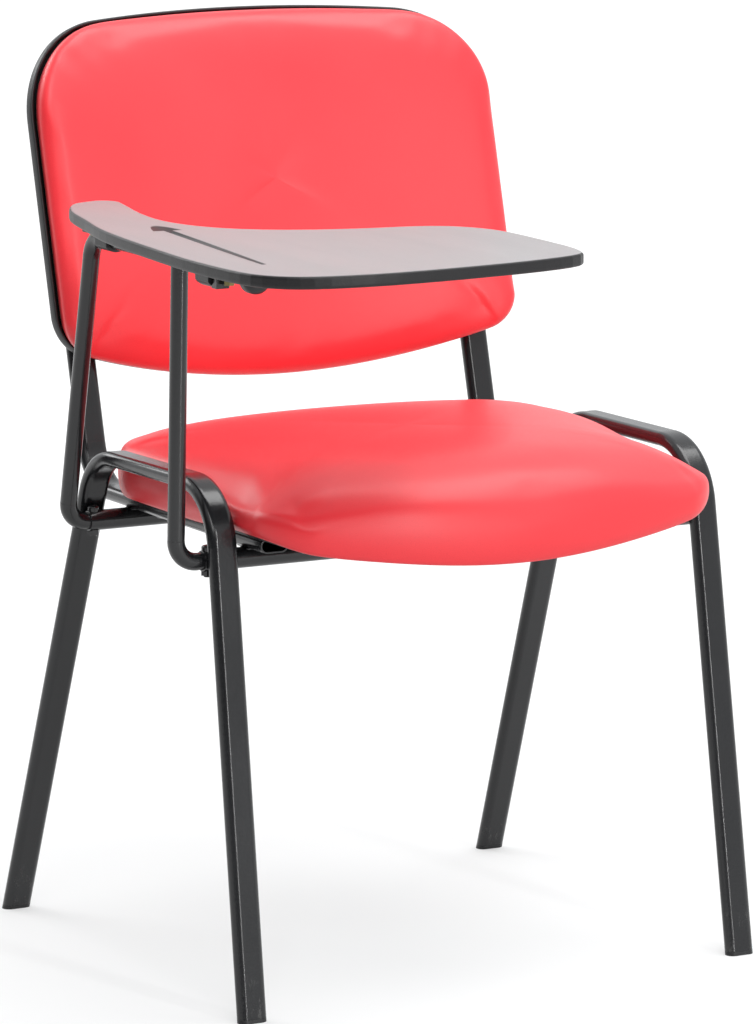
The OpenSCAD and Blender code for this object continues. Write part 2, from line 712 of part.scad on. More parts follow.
// One raised channel on the shell, which sleeves an upright
module channel(side, grow, top) {
    translate([side * seat_tube_x, channel_foot, -back_seat]) rotate([-90, 0, 0])
        linear_extrude(top - channel_foot) flat_oval(tube_w + 2 * grow, tube_t + 2 * grow);
}

module back_shell() {
    upright_top = upright_len - back_rise;
    grow = channel_gap + channel_wall;
    rear = -back_seat - tube_t / 2 - grow;
    color(black_plastic) back_frame() difference() {
        union() {
            shell_tray();
            for (side = [-1, 1]) difference() {
                channel(side, grow, upright_top + 2 * tube_t + grow);
                // the channel's front half stays behind the board
                translate([side * seat_tube_x - tube_w, 0, -shell_lie - shell_wall / 2])
                    cube([2 * tube_w, back_h, tube_w]);
                // its top slopes into the shell
                translate([side * seat_tube_x - tube_w, upright_top + grow + tube_t / 2, rear])
                    rotate([channel_slope, 0, 0]) translate([0, 0, -tube_w]) cube([2 * tube_w, back_h, tube_w]);
            }
        }
        for (side = [-1, 1]) translate([0, 0, lay_gap]) {
            channel(side, channel_gap, upright_top + channel_gap);
            translate([0, -back_rise, 0]) channel(side, channel_gap, back_rise + 2 * channel_foot);
        }
        at_back_bolts() {
            translate([0, 0, -2 * tube_t]) cylinder(h = 3 * tube_t, d = bolt_d + 2 * hole_gap, $fn = small_fn);
            translate([0, 0, rear - over]) cylinder(h = over + channel_wall / 2, d = bolt_head_d + 2 * hole_gap, $fn = small_fn);
        }
    }
}

// A direction or place seen from a frame that is rolled about Z, then turned about Y
function seen(v, roll, sweep) =
    let (x = v[0] * cos(roll) + v[1] * sin(roll), y = v[1] * cos(roll) - v[0] * sin(roll))
    [x * cos(sweep) - v[2] * sin(sweep), y, x * sin(sweep) + v[2] * cos(sweep)];

// A round bar from the origin along Z to p[1] and on through the other points,
// with a bend radius at each; its two ends run on by before and after
module laid_bar(p, r, d, before = 0, after = 0) {
    last = len(p) == 2;
    back = last ? -after : run_back(p[0], p[1], p[2], r[0]);
    run = norm(p[1] - p[0]) - back;
    // each run enters the bends at its ends, which are a hair thicker
    start = before == 0 ? bend_lap : before;
    translate([0, 0, -start]) linear_extrude(run + start + (last ? 0 : bend_lap)) circle(d = d, $fn = tube_fn);
    if (!last) {
        way = p[2] - p[1];
        roll = atan2(way[1], way[0]);
        sweep = turn(p[0], p[1], p[2]);
        bend_end = r[0] * [1 - cos(sweep), 0, sin(sweep)];
        translate([0, 0, run]) rotate([0, 0, roll]) {
            translate([r[0], 0, 0]) rotate([90, 0, 0]) rotate([0, 0, 180 - sweep])
                rotate_extrude(angle = sweep, $fn = tube_fn * 2)
                translate([r[0], 0]) circle(d = d + round_swell, $fn = tube_fn);
            translate(bend_end) rotate([0, sweep, 0]) laid_bar(concat([[0, 0, 0]],
                [for (k = [2 : len(p) - 1]) seen(p[k] - [0, 0, run]
                    - r[0] * [(1 - cos(sweep)) * cos(roll), (1 - cos(sweep)) * sin(roll), sin(sweep)],
                    roll, sweep)]),
                [for (k = [1 : 1 : len(r) - 1]) r[k]], d, 0, after);
        }
    }
}

// A round tube that starts at the first point and runs out along -X
module laid_tube(points, r, d, bore) {
    local = [for (q = points) let (v = q - points[0]) [v[2], v[1], -v[0]]];
    translate(points[0]) rotate([0, -90, 0]) difference() {
        laid_bar(local, r, d);
        laid_bar(local, r, bore, over, over);
    }
}

arm_rear_points = [
    [-arm_plug_x, rear_rail_y, rail_z],
    [-arm_foot_x + arm_toe, rear_rail_y, rail_z],
    [-arm_x, arm_corner_y, arm_z],
    [-arm_x, arm_nose_y, arm_z]];
arm_front_points = [
    [-arm_plug_x, front_rail_y, rail_z],
    [-arm_foot_x, front_rail_y, rail_z],
    [-arm_x, front_rail_y, arm_z]];

module arm_rear_tube() {
    bends = [arm_low_bend, arm_top_bend];
    color(black_paint) difference() {
        laid_tube(arm_rear_points, bends, arm_d, arm_bore_d);
        translate([0, rear_rail_y, rail_z]) arm_bolt_hole(bolt_d + 2 * hole_gap);
    }
}

module arm_front_upright() {
    bends = [arm_low_bend];
    color(black_paint) difference() {
        laid_tube(arm_front_points, bends, arm_d, arm_bore_d);
        translate([0, front_rail_y, rail_z]) arm_bolt_hole(bolt_d + 2 * hole_gap);
        // the top is coped to the hinge shaft
        translate([-arm_x, front_rail_y + arm_d, arm_z]) rotate([90, 0, 0])
            cylinder(h = 2 * arm_d, d = arm_d + 2 * lay_gap, $fn = tube_fn);
    }
}

module at_arm_bolts() {
    for (y = [front_rail_y, rear_rail_y]) translate([-arm_bolt_x, y, rail_z]) children();
}

module arm_bolts() {
    // the head's underside is hollowed to sit on the round rail
    color(black_paint) at_arm_bolts() difference() {
        translate([0, 0, rail_r + bolt_head_h / 2]) rotate([180, 0, 0]) union() {
            bolt(rail_d + bolt_head_h / 2 + nut_t);
            cylinder(h = bolt_head_h, d = bolt_head_d, $fn = small_fn);
        }
        difference() {
            translate([-bolt_head_d, 0, 0]) rotate([0, 90, 0])
                cylinder(h = 2 * bolt_head_d, r = rail_r + lay_gap, $fn = tube_fn);
            cylinder(h = 4 * rail_d, d = bolt_d, center = true, $fn = small_fn);
        }
    }
}

module arm_nuts() {
    color(steel) at_arm_bolts() translate([0, 0, -rail_r - lay_gap - nut_t + bolt_head_h / 2]) difference() {
        cylinder(h = nut_t, d = nut_flats / cos(30), $fn = 6);
        translate([0, 0, -over]) cylinder(h = nut_t + 2 * over, d = bolt_d + 2 * pin_gap, $fn = small_fn);
        translate([-nut_flats, 0, rail_r + nut_t - bolt_head_h / 2]) rotate([0, 90, 0])
            cylinder(h = 2 * nut_flats, r = rail_r + lay_gap, $fn = tube_fn);
    }
}

// Moves to the hinge axis at depth y, with Z along the shaft towards the front
module on_shaft(y) { translate([-arm_x, y, arm_z]) rotate([90, 0, 0]) children(); }

// A rounded cap under the tablet turns on the open end of the shaft and holds it lengthways
module arm_end_cap() {
    round_r = cap_t / 2;
    color(black_plastic) on_shaft(arm_nose_y + cap_bore) {
        difference() {
            translate([0, -cap_drop, 0]) rotate_extrude($fn = tube_fn) polygon(concat(
                [[0, 0], [cap_d / 2 - over, 0], [cap_d / 2, over]],
                [for (a = [0 : 15 : 90]) [
                    cap_d / 2 - round_r + round_r * cos(a), cap_t - round_r + round_r * sin(a)]],
                [[0, cap_t]]));
            translate([0, 0, -over]) cylinder(h = cap_bore + lay_gap + over, d = arm_d + 2 * pin_gap, $fn = tube_fn);
            // the top is flat against the tablet
            translate([-cap_d, tablet_lift - lay_gap, -over]) cube([2 * cap_d, cap_d, cap_t + 2 * over]);
        }
        translate([0, arm_d / 2 + over, cap_t / 2]) rotate([-90, 0, 0])
            cylinder(h = tablet_lift + peg_len - arm_d / 2 - over, d = peg_d, $fn = small_fn);
    }
}

// The stop collar: its ear hangs outside the finger of the front pivot block
module stop_collar() {
    color(black_paint) on_shaft(collar_y + collar_len / 2) difference() {
        union() {
            cylinder(h = collar_len, d = collar_d, $fn = tube_fn);
            translate([-finger_w / 2 - lay_gap - ear_w, -collar_d / 2 - ear_drop, 0])
                cube([ear_w, ear_drop + collar_d / 2, finger_len]);
        }
        translate([0, 0, -over]) cylinder(h = collar_len + 2 * over, d = arm_d + 2 * pin_gap, $fn = tube_fn);
        translate([0, 0, collar_len * stop_share]) rotate([90, 0, 0])
            cylinder(h = collar_d, d = bolt_d - over + 2 * pin_gap, $fn = small_fn);
    }
}
// Share of the collar's length at which its screw stands
stop_share = 0.73;

// A screw with a hexagon head pins the collar to the shaft, from below
module stop_screw() {
    grub_d = bolt_d - over;
    color(zinc) on_shaft(collar_y + collar_len / 2) translate([0, 0, collar_len * stop_share]) rotate([90, 0, 0]) {
        translate([0, 0, arm_d / 2 + lay_gap]) cylinder(h = collar_d / 2 - arm_d / 2 + lay_gap, d = grub_d, $fn = small_fn);
        translate([0, 0, collar_d / 2 + lay_gap]) cylinder(h = stop_head_h, d = stop_flats / cos(30), $fn = 6);
    }
}

module pivot_screw_holes(flange_w, d, h0, h1) {
    for (side = [-1, 1]) translate([side * (flange_w / 2 - screw_head_d * 0.7), h0, 0])
        rotate([-90, 0, 0]) cylinder(h = h1 - h0, d = d, $fn = small_fn);
}

// A pivot block on the shaft under the tablet, w wide and len long
module pivot(w, len, flange_w, drop) {
    difference() {
        union() {
            translate([-w / 2, -drop + w / 4, -len / 2]) cube([w, tablet_lift - lay_gap + drop - w / 4, len]);
            intersection() {
                translate([-w / 2, -drop, -len / 2]) cube([w, drop + arm_d / 2, len]);
                translate([0, w / 2 - drop + w / 8, -len / 2]) cylinder(h = len, r = w * 0.625, $fn = tube_fn);
            }
            translate([-flange_w / 2, tablet_lift - lay_gap - saddle_flange_t, -len / 2])
                cube([flange_w, saddle_flange_t, len]);
        }
        translate([0, 0, -len]) cylinder(h = 2 * len, d = arm_d + 2 * pin_gap, $fn = tube_fn);
        pivot_screw_holes(flange_w, screw_d + 2 * hole_gap, -drop, tablet_lift + over);
    }
}

module rear_pivot_saddle() {
    color(black_plastic) on_shaft(rear_saddle_y)
        pivot(saddle_w, saddle_len, saddle_flange_w, arm_d / 2 + saddle_wall);
}

module front_pivot_block() {
    drop = arm_d / 2 + block_drop;
    color(black_plastic) {
        on_shaft(front_block_y) pivot(block_w, block_len, block_flange_w, drop);
        // the finger that meets the collar's ear
        on_shaft(front_block_y - block_len / 2) translate([-finger_w / 2, -collar_d / 2 - ear_drop, -over])
            cube([finger_w, ear_drop - lay_gap * 2, finger_len + over]);
    }
}

// Each screw's head bears on its flange's underside and its shank ends inside the tablet
module pivot_screws(flange_w) {
    for (side = [-1, 1]) translate([side * (flange_w / 2 - screw_head_d * 0.7), 0, 0]) rotate([-90, 0, 0]) {
        translate([0, 0, tablet_lift - lay_gap * 2 - saddle_flange_t - screw_head_h]) rotate_extrude($fn = small_fn)
            polygon([[0, 0], [screw_head_d * 0.3, 0], [screw_head_d / 2, screw_head_h], [0, screw_head_h]]);
        translate([0, 0, tablet_lift - saddle_flange_t - screw_head_h])
            cylinder(h = saddle_flange_t + screw_head_h + screw_reach, d = screw_d, $fn = small_fn);
    }
}

module tablet_screws() {
    color(zinc) {
        on_shaft(rear_saddle_y) pivot_screws(saddle_flange_w);
        on_shaft(front_block_y) pivot_screws(block_flange_w);
    }
}

// Outline of the tablet: shares of its width from the outer side and of its length from the rear
tablet_shares = [
    [0.361, 0], [0.312, 0.006], [0.255, 0.028], [0.187, 0.106], [0.134, 0.222], [0.084, 0.335],
    [0.052, 0.45], [0.026, 0.58], [0.004, 0.71], [0, 0.83], [0.014, 0.915], [0.07, 0.966],
    [0.17, 0.991], [0.352, 1], [0.6, 0.988], [0.8, 0.968], [0.93, 0.94], [0.972, 0.895],
    [0.99, 0.82], [1, 0.67], [0.978, 0.603], [0.925, 0.556], [0.84, 0.53], [0.69, 0.515],
    [0.542, 0.487], [0.42, 0.44], [0.345, 0.375], [0.315, 0.29], [0.333, 0.19], [0.386, 0.063],
    [0.397, 0.022]];

function spline(p, n) = let (m = len(p)) [for (i = [0 : m - 1], k = [0 : n - 1])
    let (t = k / n, a = p[(i + m - 1) % m], b = p[i], c = p[(i + 1) % m], d = p[(i + 2) % m])
    (2 * b + (c - a) * t + (2 * a - 5 * b + 4 * c - d) * t ^ 2 + (3 * b - a - 3 * c + d) * t ^ 3) / 2];
function drawn_in(p, d) = let (m = len(p)) [for (i = [0 : m - 1])
    let (t = unit(p[(i + 1) % m] - p[(i + m - 1) % m])) p[i] + [-t[1], t[0]] * d];
tablet_outline = spline([for (s = tablet_shares)
    [tablet_side + tablet_w * s[0], tablet_rear - tablet_len * s[1]]], 3);

// Places on the tablet for the groove: shares as in the outline
groove_rear_share = [0.225, 0.405];
groove_front_share = [0.128, 0.83];
function tablet_place(s) = [tablet_side + tablet_w * s[0], tablet_rear - tablet_len * s[1]];

module tablet_board() {
    levels = [for (a = [0 : 30 : 90]) [edge_round * (1 - sin(a)), edge_round * (1 - cos(a))]];
    rings = concat(
        [for (s = levels) [for (p = drawn_in(tablet_outline, s[0])) [p[0], p[1], tablet_z + s[1]]]],
        [for (i = [len(levels) - 1 : -1 : 0]) [for (p = drawn_in(tablet_outline, levels[i][0]))
            [p[0], p[1], tablet_z + tablet_t - levels[i][1]]]]);
    n = len(rings[0]);
    m = len(rings);
    sides = [for (j = [0 : m - 2], i = [0 : n - 1])
        let (a = j * n + i, b = j * n + (i + 1) % n) each [[a, a + n, b], [b, a + n, b + n]]];
    // the lids are ladders: each rung joins the outer side to the inner side
    far = n - 3;
    half = far / 2;
    ladder = concat(
        [for (i = [0 : half - 1]) [i, i + 1, far - i]],
        [for (i = [0 : half - 2]) [i + 1, far - 1 - i, far - i]],
        [[far, far + 1, 0], [far + 1, far + 2, 0]]);
    top = (m - 1) * n;
    lids = concat(ladder, [for (f = ladder) [top + f[2], top + f[1], top + f[0]]]);
    rear = tablet_place(groove_rear_share);
    front = tablet_place(groove_front_share);
    color(black_plastic) difference() {
        polyhedron([for (ring = rings) each ring], concat(sides, lids), convexity = 6);
        // the finger scoop and the groove, which runs out towards the front
        scoop_bar(rear, front);
        groove_bar(rear, front);
        for (place = [[rear_saddle_y, saddle_flange_w], [front_block_y, block_flange_w]]) on_shaft(place[0])
            pivot_screw_holes(place[1], screw_d + 2 * pin_gap, tablet_lift - over, tablet_lift + screw_reach + lay_gap);
        // the blind hole of the end cap's peg
        on_shaft(arm_nose_y + cap_bore) translate([0, tablet_lift - over, cap_t / 2]) rotate([-90, 0, 0])
            cylinder(h = peg_len + over + lay_gap, d = peg_d + 2 * pin_gap, $fn = small_fn);
    }
}

// A round bar that sinks into the top from a pointed rear tip
module scoop_bar(rear, front) {
    run = front - rear;
    scoop_r = (scoop_w ^ 2 / 4 + scoop_depth ^ 2) / (2 * scoop_depth);
    translate([rear[0], rear[1], tablet_z + tablet_t - scoop_depth]) rotate([0, 0, atan2(run[1], run[0]) + 180])
        rotate([0, 90 - atan(scoop_depth / scoop_len), 0]) translate([-scoop_r, 0, 0])
        cylinder(h = scoop_len * 1.1, r = scoop_r, $fn = 2 * tube_fn);
}

module groove_bar(rear, front) {
    run = front - rear;
    slope = atan(groove_w * 0.4 / norm(run));
    translate([rear[0], rear[1], tablet_z + tablet_t]) rotate([0, 0, atan2(run[1], run[0])])
        rotate([0, 90 - slope, 0]) cylinder(h = norm(run), d = groove_w, $fn = small_fn);
}

leg_frame_right();
leg_frame_left();
foot_caps();
front_cross_rail();
rear_cross_rail();
rail_plugs();
seat_tube_right();
seat_tube_left();
seat_base_cover();
seat_board();
seat_t_nuts();
seat_bolts();
seat_cushion();
back_shell();
back_board();
back_t_nuts();
back_bolts();
back_cushion();
arm_rear_tube();
arm_front_upright();
arm_bolts();
arm_nuts();
arm_end_cap();
stop_collar();
stop_screw();
tablet_board();
rear_pivot_saddle();
front_pivot_block();
tablet_screws();
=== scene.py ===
"""Looks of the tablet arm chair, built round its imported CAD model. Metres, +Z up, the front faces -Y."""
import json
import math

import bmesh
import bpy
import numpy as np
from mathutils import Matrix, Vector


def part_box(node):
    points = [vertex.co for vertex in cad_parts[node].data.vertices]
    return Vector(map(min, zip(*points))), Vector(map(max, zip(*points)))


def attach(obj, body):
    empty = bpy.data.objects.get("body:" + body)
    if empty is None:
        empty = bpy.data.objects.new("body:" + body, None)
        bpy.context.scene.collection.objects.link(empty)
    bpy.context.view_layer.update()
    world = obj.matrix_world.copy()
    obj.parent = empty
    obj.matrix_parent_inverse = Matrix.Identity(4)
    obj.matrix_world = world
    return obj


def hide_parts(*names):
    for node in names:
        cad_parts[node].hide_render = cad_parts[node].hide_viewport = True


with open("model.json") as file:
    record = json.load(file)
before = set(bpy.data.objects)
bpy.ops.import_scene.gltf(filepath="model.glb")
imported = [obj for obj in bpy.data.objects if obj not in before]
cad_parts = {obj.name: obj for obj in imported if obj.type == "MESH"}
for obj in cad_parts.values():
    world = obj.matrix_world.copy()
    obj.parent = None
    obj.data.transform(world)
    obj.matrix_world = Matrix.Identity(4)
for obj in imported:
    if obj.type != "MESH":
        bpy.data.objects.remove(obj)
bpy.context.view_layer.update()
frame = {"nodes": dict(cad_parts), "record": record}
nodes = frame["nodes"]
MM = 0.001

# The camera, from the calibration of the photograph
AZIMUTH, ELEVATION = math.radians(-28.431), math.radians(9.592)
TARGET = Vector((0, -0.00925, 0.41))
DISTANCE = 4.9385
FOCAL_PX, CENTRE_X, CENTRE_Y, LONG_SIDE = 5545.45, 2.93, -28.14, 1024
SENSOR_MM = 36


def make_camera():
    """A camera that stands and looks as the photograph's did."""
    back = Vector((math.sin(AZIMUTH) * math.cos(ELEVATION),
                   -math.cos(AZIMUTH) * math.cos(ELEVATION), math.sin(ELEVATION)))
    right = Vector((math.cos(AZIMUTH), math.sin(AZIMUTH), 0))
    up = back.cross(right)
    data = bpy.data.cameras.new("camera")
    data.sensor_width = SENSOR_MM
    data.lens = SENSOR_MM * FOCAL_PX / LONG_SIDE
    data.shift_x = -CENTRE_X / LONG_SIDE
    data.shift_y = CENTRE_Y / LONG_SIDE
    data.clip_start, data.clip_end = 0.1, 200
    camera = bpy.data.objects.new("camera", data)
    turn = Matrix((right, up, back)).transposed().to_4x4()
    camera.matrix_world = Matrix.Translation(TARGET + back * DISTANCE) @ turn
    bpy.context.scene.collection.objects.link(camera)
    bpy.context.scene.camera = camera


# Shader helpers
# Socket numbers of the mix node's colour form, because its socket names repeat
MIX_SHARE, MIX_FIRST, MIX_SECOND, MIX_RESULT = 0, 6, 7, 2
RAMP_SOCKETS = ("From Min", "From Max", "To Min", "To Max")


class Shader:
    """A material and short calls for its nodes."""

    def __init__(self, name):
        self.material = bpy.data.materials.new(name)
        self.material.use_nodes = True
        self.tree = self.material.node_tree
        self.main = self.tree.nodes["Principled BSDF"]
        self.place = self.node("ShaderNodeTexCoord").outputs["Object"]

    def node(self, kind, **values):
        made = self.tree.nodes.new(kind)
        for key, value in values.items():
            setattr(made, key, value)
        return made

    def link(self, a, b):
        self.tree.links.new(a, b)

    def stretched(self, scale):
        mapping = self.node("ShaderNodeMapping")
        mapping.inputs["Scale"].default_value = scale
        self.link(self.place, mapping.inputs["Vector"])
        return mapping.outputs["Vector"]

    def noise(self, scale, detail=3.0, rough=0.5, vector=None):
        made = self.node("ShaderNodeTexNoise")
        made.inputs["Scale"].default_value = scale
        made.inputs["Detail"].default_value = detail
        made.inputs["Roughness"].default_value = rough
        self.link(vector or self.place, made.inputs["Vector"])
        return made.outputs["Fac"]

    def cells(self, scale, feature="F1", smooth=0.0):
        made = self.node("ShaderNodeTexVoronoi", feature=feature)
        made.inputs["Scale"].default_value = scale
        if feature == "SMOOTH_F1":
            made.inputs["Smoothness"].default_value = smooth
        self.link(self.place, made.inputs["Vector"])
        return made.outputs["Distance"]

    def ramp(self, value, low, high, to_low=0.0, to_high=1.0):
        made = self.node("ShaderNodeMapRange")
        for key, v in zip(RAMP_SOCKETS, (low, high, to_low, to_high)):
            made.inputs[key].default_value = v
        self.link(value, made.inputs["Value"])
        return made.outputs["Result"]

    def math(self, how, a, b):
        made = self.node("ShaderNodeMath", operation=how)
        for socket, value in zip(made.inputs, (a, b)):
            if isinstance(value, (int, float)):
                socket.default_value = value
            else:
                self.link(value, socket)
        return made.outputs["Value"]

    def mix(self, share, a, b):
        made = self.node("ShaderNodeMix", data_type="RGBA")
        self.link(share, made.inputs[MIX_SHARE])
        for socket, value in ((made.inputs[MIX_FIRST], a), (made.inputs[MIX_SECOND], b)):
            if isinstance(value, tuple):
                socket.default_value = (*value, 1)
            else:
                self.link(value, socket)
        return made.outputs[MIX_RESULT]

    def axis(self, vector, name):
        made = self.node("ShaderNodeSeparateXYZ")
        self.link(vector, made.inputs["Vector"])
        return made.outputs[name]

    def seen_directly(self):
        """One for what the camera, a mirror or glass sees, nothing for what the surface lights."""
        path = self.node("ShaderNodeLightPath")
        seen = self.math("MAXIMUM", path.outputs["Is Camera Ray"], path.outputs["Is Glossy Ray"])
        return self.math("MAXIMUM", seen, path.outputs["Is Transmission Ray"])

    def height(self):
        return self.axis(self.place, "Z")

    def above(self, level, soft=0.0003):
        """One above a height in the object's own frame, nothing below it."""
        return self.ramp(self.height(), level - soft, level)

    def rounded(self, radius):
        """Normals of slightly rounded edges."""
        made = self.node("ShaderNodeBevel", samples=6)
        made.inputs["Radius"].default_value = radius
        return made.outputs["Normal"]

    def bump(self, height, strength, distance, under=None):
        made = self.node("ShaderNodeBump")
        made.inputs["Strength"].default_value = strength
        made.inputs["Distance"].default_value = distance
        self.link(height, made.inputs["Height"])
        if under is not None:
            self.link(under, made.inputs["Normal"])
        return made.outputs["Normal"]

    def use(self, **sockets):
        for name, value in sockets.items():
            socket = self.main.inputs[name.replace("_", " ")]
            if isinstance(value, tuple):
                socket.default_value = (*value, 1)
            elif isinstance(value, (int, float)):
                socket.default_value = value
            else:
                self.link(value, socket)
        return self.material


def powder_coat(name):
    """Satin black powder coat: faint orange peel, a little lint, and scuffs near the floor."""
    s = Shader(name)
    cloud = s.noise(9, 4, 0.6)
    fine = s.noise(260, 2, 0.5)
    peel = s.cells(420, "SMOOTH_F1", 0.8)
    low = s.ramp(s.height(), 0.05, 0.004)
    scratches = s.noise(140, 6, 0.75, s.stretched((1, 1, 0.35)))
    scuff = s.math("MULTIPLY", low, s.ramp(scratches, 0.56, 0.68))
    colour = s.mix(s.ramp(cloud, 0.3, 0.7), (0.0085, 0.009, 0.0102), (0.0125, 0.013, 0.0145))
    colour = s.mix(s.math("MULTIPLY", scuff, 0.7), colour, (0.1, 0.098, 0.095))
    rough = s.math("ADD", s.ramp(cloud, 0.25, 0.75, 0.17, 0.24), s.math("MULTIPLY", fine, 0.05))
    rough = s.math("ADD", rough, s.math("MULTIPLY", scuff, 0.2))
    normal = s.bump(peel, 0.12, 0.0004, s.bump(fine, 0.08, 0.0003, s.rounded(0.0006)))
    return s.use(Base_Color=colour, Roughness=rough, Normal=normal, Specular_IOR_Level=0.42,
                 Coat_Weight=0.15, Coat_Roughness=0.08)


def grained_plastic(name, dark, light, rough):
    """Moulded plastic with a fine spark-eroded grain and a trace of dust."""
    s = Shader(name)
    cloud = s.noise(7, 3, 0.55)
    grit = s.noise(900, 2, 0.6)
    spots = s.cells(1300)
    colour = s.mix(s.ramp(cloud, 0.3, 0.7), dark, light)
    patches = s.ramp(cloud, 0.3, 0.7, rough - 0.04, rough + 0.05)
    roughness = s.math("ADD", patches, s.math("MULTIPLY", grit, 0.06))
    normal = s.bump(spots, 0.16, 0.0003, s.bump(grit, 0.14, 0.0003, s.rounded(0.0008)))
    return s.use(Base_Color=colour, Roughness=roughness, Normal=normal, Specular_IOR_Level=0.4)


def pebbled_plastic(name):
    """The tablet: hard black plastic with a pebbled writing face that is polished a little by use; the
    face's colour is painted lighter as a painted reflection of the bright room at a grazing view, with
    painted highlights on the pebble tops.
    """
    s = Shader(name)
    pebbles = s.cells(620, "SMOOTH_F1", 0.45)
    grit = s.noise(1500, 2, 0.6)
    cloud = s.noise(6, 5, 0.62)
    streak = s.noise(26, 4, 0.6, s.stretched((1, 0.12, 1)))
    face = s.above(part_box("tablet_board")[1].z - 0.0001)
    edge = s.mix(s.ramp(cloud, 0.3, 0.7), (0.0085, 0.008, 0.0088), (0.014, 0.0135, 0.0145))
    # Painted reflection: the writing face is coloured light grey though the plastic is black all over, and
    # the pebble tops lighter still as painted highlights; the black edge colour is the plastic's own.
    top = s.mix(s.ramp(cloud, 0.3, 0.7), (0.1, 0.093, 0.096), (0.14, 0.13, 0.134))
    top = s.mix(s.ramp(pebbles, 0.1, 0.5, 0.0, 0.35), top, (0.2, 0.185, 0.19))
    colour = s.mix(face, edge, top)
    rough = s.math("ADD", s.ramp(streak, 0.3, 0.7, 0.34, 0.42), s.math("MULTIPLY", grit, 0.08))
    normal = s.bump(pebbles, 0.32, 0.0003, s.bump(grit, 0.12, 0.0002, s.rounded(0.0015)))
    shine = s.ramp(face, 0, 1, 0.3, 0.75)
    sheen = s.math("MULTIPLY", face, 0.65)
    return s.use(Base_Color=colour, Roughness=rough, Normal=normal, Specular_IOR_Level=shine,
                 Sheen_Weight=sheen, Sheen_Roughness=0.35)


def vinyl(name):
    """Smooth red upholstery vinyl: fine leather grain with painted shade in its creases, soft mottling and a
    soft gloss.
    """
    s = Shader(name)
    cells = s.cells(780, "DISTANCE_TO_EDGE")
    wrinkle = s.noise(240, 4, 0.65)
    broad = s.noise(5, 3, 0.5)
    crease = s.ramp(cells, 0.0, 0.09)
    colour = s.mix(s.ramp(broad, 0.3, 0.7), (0.86, 0.03, 0.042), (0.91, 0.039, 0.05))
    # Painted shade: the colour darkens towards the edges of the grain's cells, as shade in its creases.
    colour = s.mix(s.ramp(crease, 0.0, 1.0, 0.22, 0.0), colour, (0.62, 0.012, 0.022))
    rough = s.math("ADD", s.ramp(broad, 0.3, 0.7, 0.33, 0.4), s.math("MULTIPLY", wrinkle, 0.08))
    normal = s.bump(crease, 0.1, 0.0002, s.bump(wrinkle, 0.1, 0.0004))
    return s.use(Base_Color=colour, Roughness=rough, Normal=normal, Specular_IOR_Level=0.45,
                 Coat_Weight=0.1, Coat_Roughness=0.25, Sheen_Weight=0.04, Sheen_Roughness=0.4)


def plywood(name):
    """Raw moulded plywood: long grain, pores and darker bands."""
    s = Shader(name)
    along = s.stretched((9, 1.2, 30))
    grain = s.noise(16, 6, 0.65, along)
    pores = s.noise(150, 3, 0.7, s.stretched((3, 0.3, 3)))
    colour = s.mix(s.ramp(grain, 0.3, 0.7), (0.5, 0.35, 0.2), (0.68, 0.52, 0.34))
    colour = s.mix(s.ramp(pores, 0.62, 0.75, 0.0, 0.5), colour, (0.3, 0.18, 0.09))
    rough = s.ramp(grain, 0.3, 0.7, 0.55, 0.7)
    return s.use(Base_Color=colour, Roughness=rough, Normal=s.bump(pores, 0.2, 0.0003))


def plated(name, dark, light):
    """Zinc-plated steel with drawn marks and stains."""
    s = Shader(name)
    marks = s.noise(300, 4, 0.6, s.stretched((1, 6, 1)))
    stain = s.noise(60, 4, 0.6)
    colour = s.mix(s.ramp(stain, 0.35, 0.65), dark, light)
    rough = s.math("ADD", s.ramp(stain, 0.3, 0.7, 0.22, 0.38), s.math("MULTIPLY", marks, 0.12))
    return s.use(Base_Color=colour, Roughness=rough, Normal=s.bump(marks, 0.15, 0.0002), Metallic=1.0)


make_camera()
MATERIALS = {
    "black_paint": powder_coat("powder_coat"),
    "black_plastic": grained_plastic("moulded_plastic", (0.011, 0.011, 0.0122),
                                     (0.018, 0.018, 0.0195), 0.36),
    "tablet_plastic": pebbled_plastic("pebbled_plastic"),
    "red_vinyl": vinyl("red_vinyl_cover"),
    "plywood": plywood("moulded_plywood"),
    "steel": plated("zinc_plate", (0.5, 0.5, 0.52), (0.66, 0.66, 0.67)),
    "yellow_zinc": plated("yellow_zinc_plate", (0.1, 0.085, 0.04), (0.2, 0.17, 0.08)),
}
for part in frame["record"]["subparts"]:
    mesh = nodes[part["node"]].data
    mesh.materials.clear()
    mesh.materials.append(MATERIALS[part["material_slot"]])


def mesh_object(name, points, faces, slot):
    """A smooth-shaded mesh with outward normals and the material of a slot."""
    mesh = bpy.data.meshes.new(name)
    mesh.from_pydata([tuple(p) for p in points], [], faces)
    mesh.validate()
    made = bmesh.new()
    made.from_mesh(mesh)
    bmesh.ops.recalc_face_normals(made, faces=made.faces)
    made.to_mesh(mesh)
    made.free()
    for polygon in mesh.polygons:
        polygon.use_smooth = True
    mesh.materials.append(MATERIALS[slot])
    obj = bpy.data.objects.new(name, mesh)
    bpy.context.scene.collection.objects.link(obj)
    return obj


# Places that the cushions are built from, measured on the frame, in millimetres
def centre(node):
    """The middle of a node's box."""
    low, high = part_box(node)
    return (low + high) / 2 / MM


front_rail, rear_rail = centre("front_cross_rail"), centre("rear_cross_rail")
# The seat tube's axis over the rail's, the seat over that axis, and the seat's nose ahead of the rail
TUBE_OVER_RAIL, SEAT_OVER_TUBE, NOSE_AHEAD = 15.6, 11.7, 111.5
TUBE_Z = front_rail.z + TUBE_OVER_RAIL
SEAT_Z = TUBE_Z + SEAT_OVER_TUBE
SEAT_Y = front_rail.y - NOSE_AHEAD
